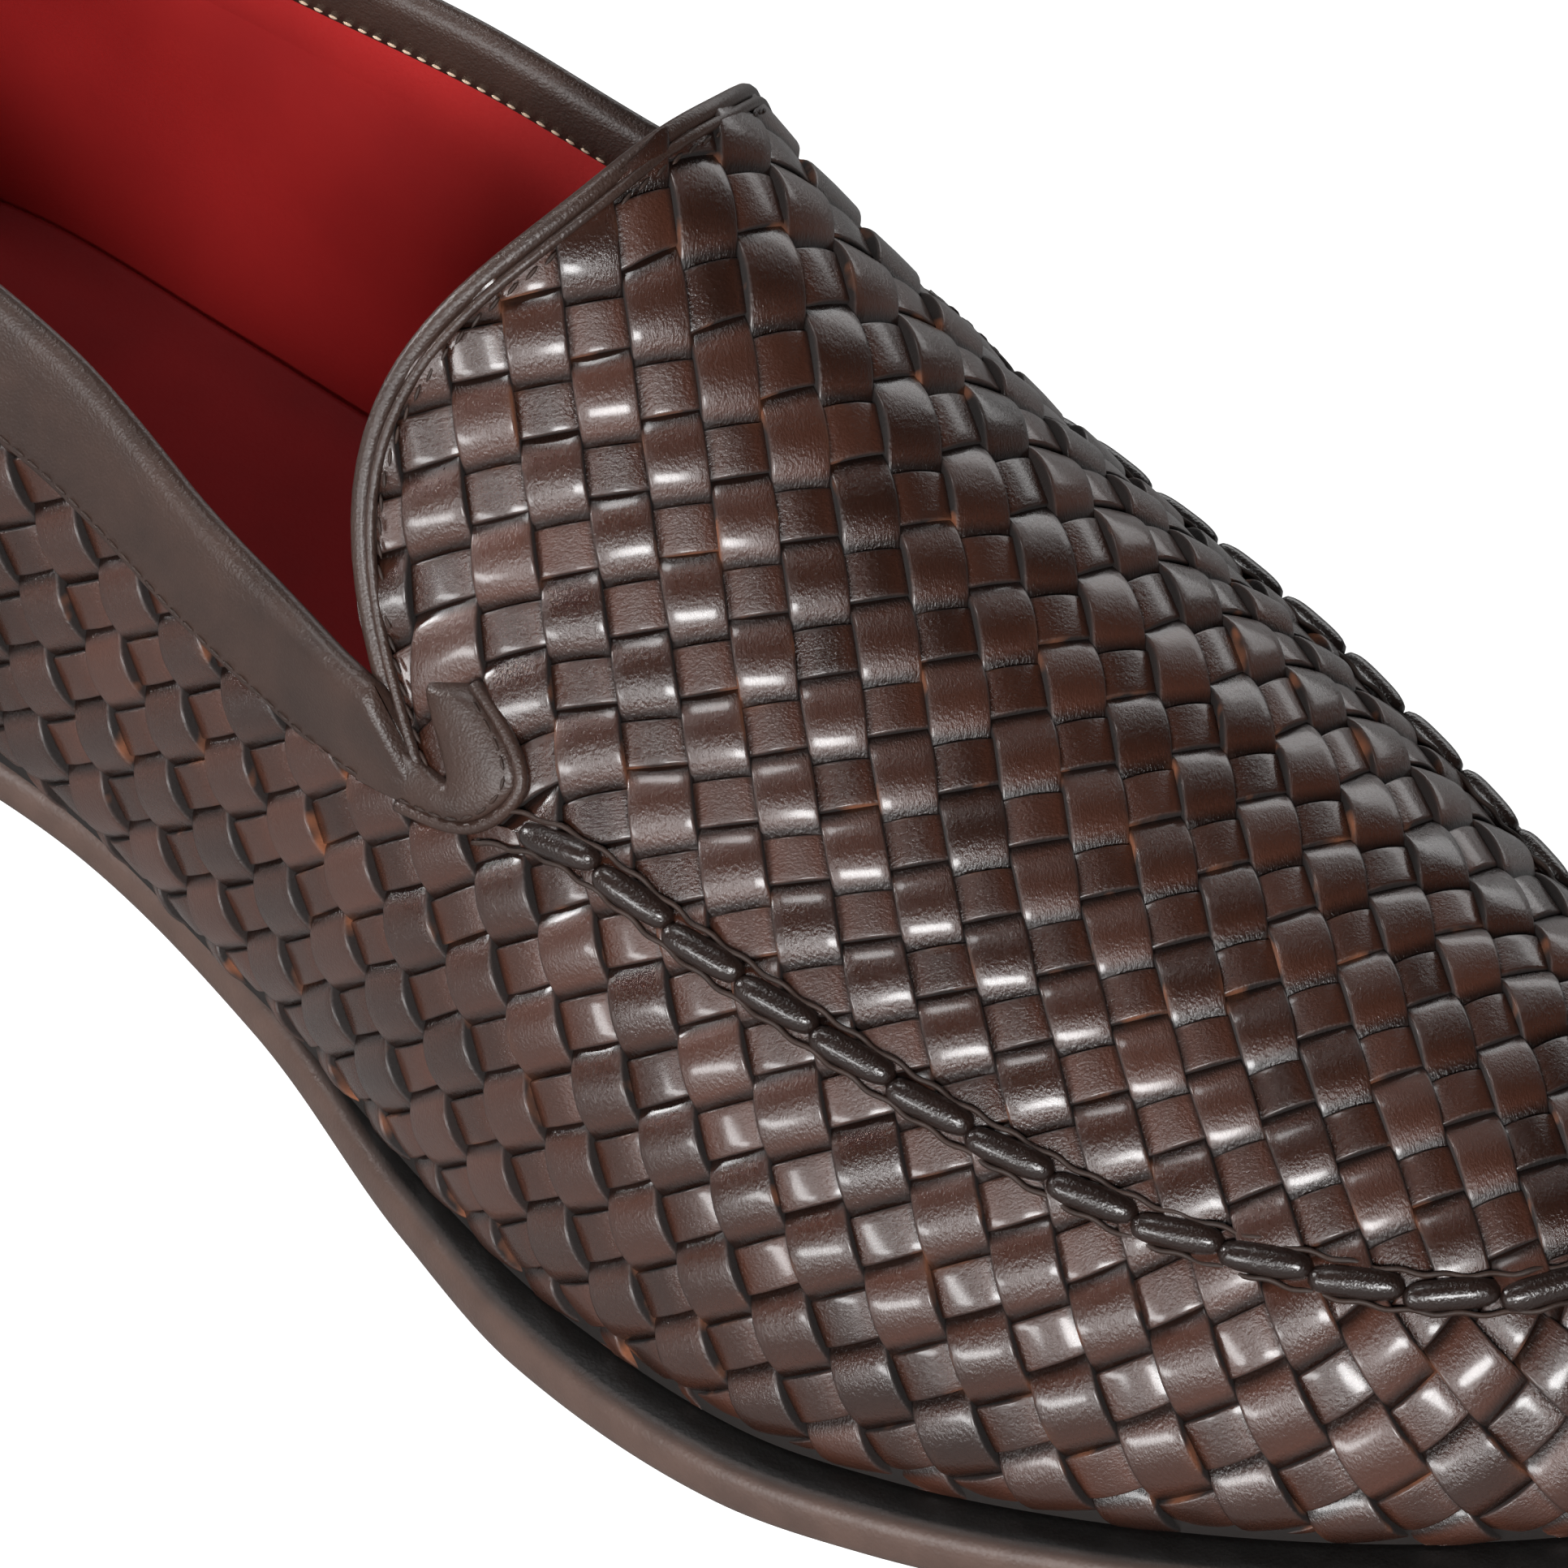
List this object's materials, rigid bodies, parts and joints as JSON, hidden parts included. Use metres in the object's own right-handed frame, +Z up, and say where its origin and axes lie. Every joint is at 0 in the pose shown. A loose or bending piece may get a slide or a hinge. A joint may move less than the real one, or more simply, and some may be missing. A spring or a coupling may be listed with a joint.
{
  "type": "woven leather loafer",
  "caption": "Slip-on leather loafer with a diagonal woven upper, hand-sewn apron seam, bound tongue edge, side gussets with tabs and a low heel.",
  "frame": {"origin": "on the floor under the middle of the shoe's bounding box", "axes": "+X to the toe, +Y to the wearer's left (the outer side of this left shoe), +Z up"},
  "size_m": [0.2866, 0.1104, 0.1022],
  "materials": {
    "woven_leather": "burnished dark brown, satin",
    "trim_leather": "smooth dark brown, satin",
    "sole_leather": "dyed brown edge, satin",
    "heel_stack": "dark red, satin",
    "sock_leather": "dark red, soft"
  },
  "bodies": {
    "root": {"upper": "woven_leather", "outsole": "sole_leather", "heel": "heel_stack", "insole": "sock_leather", "apron_seam": "trim_leather", "throat_binding": "trim_leather", "side_tab_inner": "trim_leather", "side_tab_outer": "trim_leather"}
  },
  "joints": []
}
